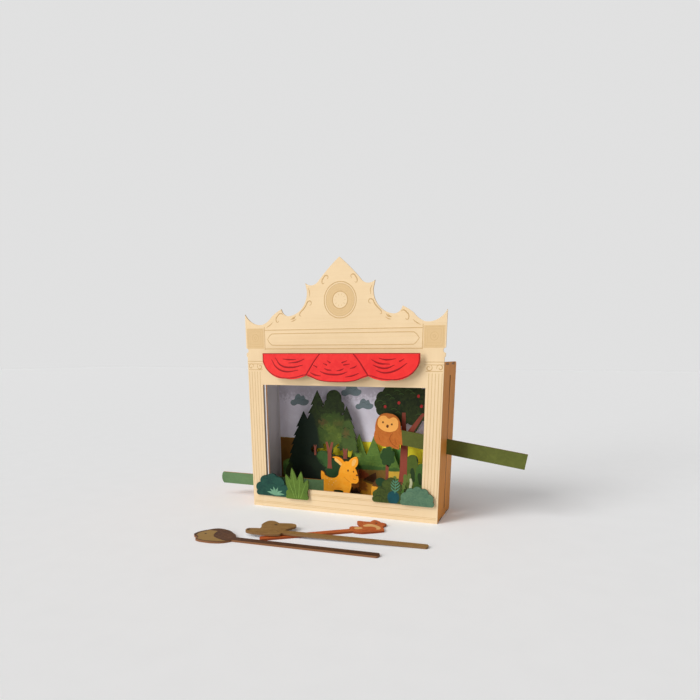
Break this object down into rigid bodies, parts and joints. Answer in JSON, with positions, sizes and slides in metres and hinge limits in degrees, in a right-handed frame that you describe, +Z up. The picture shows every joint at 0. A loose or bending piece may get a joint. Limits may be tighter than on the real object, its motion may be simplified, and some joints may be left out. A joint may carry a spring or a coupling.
{
  "type": "toy theatre",
  "caption": "Press-out card toy theatre: shaped front with swag curtain, slit side walls, drop-in scenery and flat stick puppets.",
  "frame": {"origin": "middle of the underside of the stage box, on the surface it stands on", "axes": "+X to the right of the front, +Y from the front to the back, +Z up"},
  "size_m": [0.2186, 0.1211, 0.158],
  "materials": {
    "wood_print_card": "matte printed card with a fine wood grain",
    "curtain_card": "satin printed card",
    "teal_bush_card": "satin printed card",
    "fern_card": "satin printed card",
    "olive_bush_card": "satin printed card",
    "pale_bush_card": "satin printed card",
    "backdrop_paper": "matte printed paper board",
    "hedge_card": "matte printed card",
    "forest_card": "matte printed card",
    "apple_tree_card": "matte printed card",
    "fawn_card": "matte printed card",
    "owl_card": "matte printed card",
    "hedgehog_card": "matte printed card",
    "hare_card": "matte printed card",
    "fox_card": "matte printed card"
  },
  "bodies": {
    "root": {"front_panel": "wood_print_card", "left_wall": "wood_print_card", "right_wall": "wood_print_card", "base_panel": "wood_print_card", "roof_panel": "wood_print_card", "back_wall": "wood_print_card", "curtain_swag": "curtain_card", "curtain_spacer_left": "wood_print_card", "curtain_spacer_right": "wood_print_card", "left_bush": "teal_bush_card", "left_fern": "fern_card", "right_bush": "olive_bush_card", "right_bush_pale": "pale_bush_card"},
    "backdrop": {"backdrop_sheet": "backdrop_paper"},
    "hedge": {"hedge_flat": "hedge_card"},
    "forest": {"forest_flat": "forest_card"},
    "apple_tree": {"apple_tree_flat": "apple_tree_card"},
    "fawn": {"fawn_puppet": "fawn_card"},
    "owl": {"owl_puppet": "owl_card"},
    "hedgehog": {"hedgehog_puppet": "hedgehog_card"},
    "fox": {"fox_puppet": "fox_card"},
    "hare": {"hare_puppet": "hare_card"}
  },
  "joints": [
    {"name": "backdrop_lift", "type": "slide", "parent": "root", "child": "backdrop", "axis": [0, 0, 1], "range_m": [0, 0.1]},
    {"name": "hedge_lift", "type": "slide", "parent": "root", "child": "hedge", "axis": [0, 0, 1], "range_m": [0, 0.1]},
    {"name": "forest_lift", "type": "slide", "parent": "root", "child": "forest", "axis": [0, 0, 1], "range_m": [0, 0.1]},
    {"name": "apple_tree_lift", "type": "slide", "parent": "root", "child": "apple_tree", "axis": [0, 0, 1], "range_m": [0, 0.1]},
    {"name": "fawn_walk", "type": "slide", "parent": "root", "child": "fawn", "axis": [1, 0, 0], "range_m": [-0.036, 0.034]},
    {"name": "owl_flight", "type": "slide", "parent": "root", "child": "owl", "axis": [0.9903, 0, -0.1392], "range_m": [-0.044, 0.026]},
    {"name": "hedgehog_pick_up", "type": "slide", "parent": "root", "child": "hedgehog", "axis": [0, 0, 1], "range_m": [0, 0.06]},
    {"name": "fox_pick_up", "type": "slide", "parent": "root", "child": "fox", "axis": [0, 0, 1], "range_m": [0, 0.06]},
    {"name": "hare_pick_up", "type": "slide", "parent": "fox", "child": "hare", "axis": [0, 0, 1], "range_m": [0, 0.06]}
  ]
}
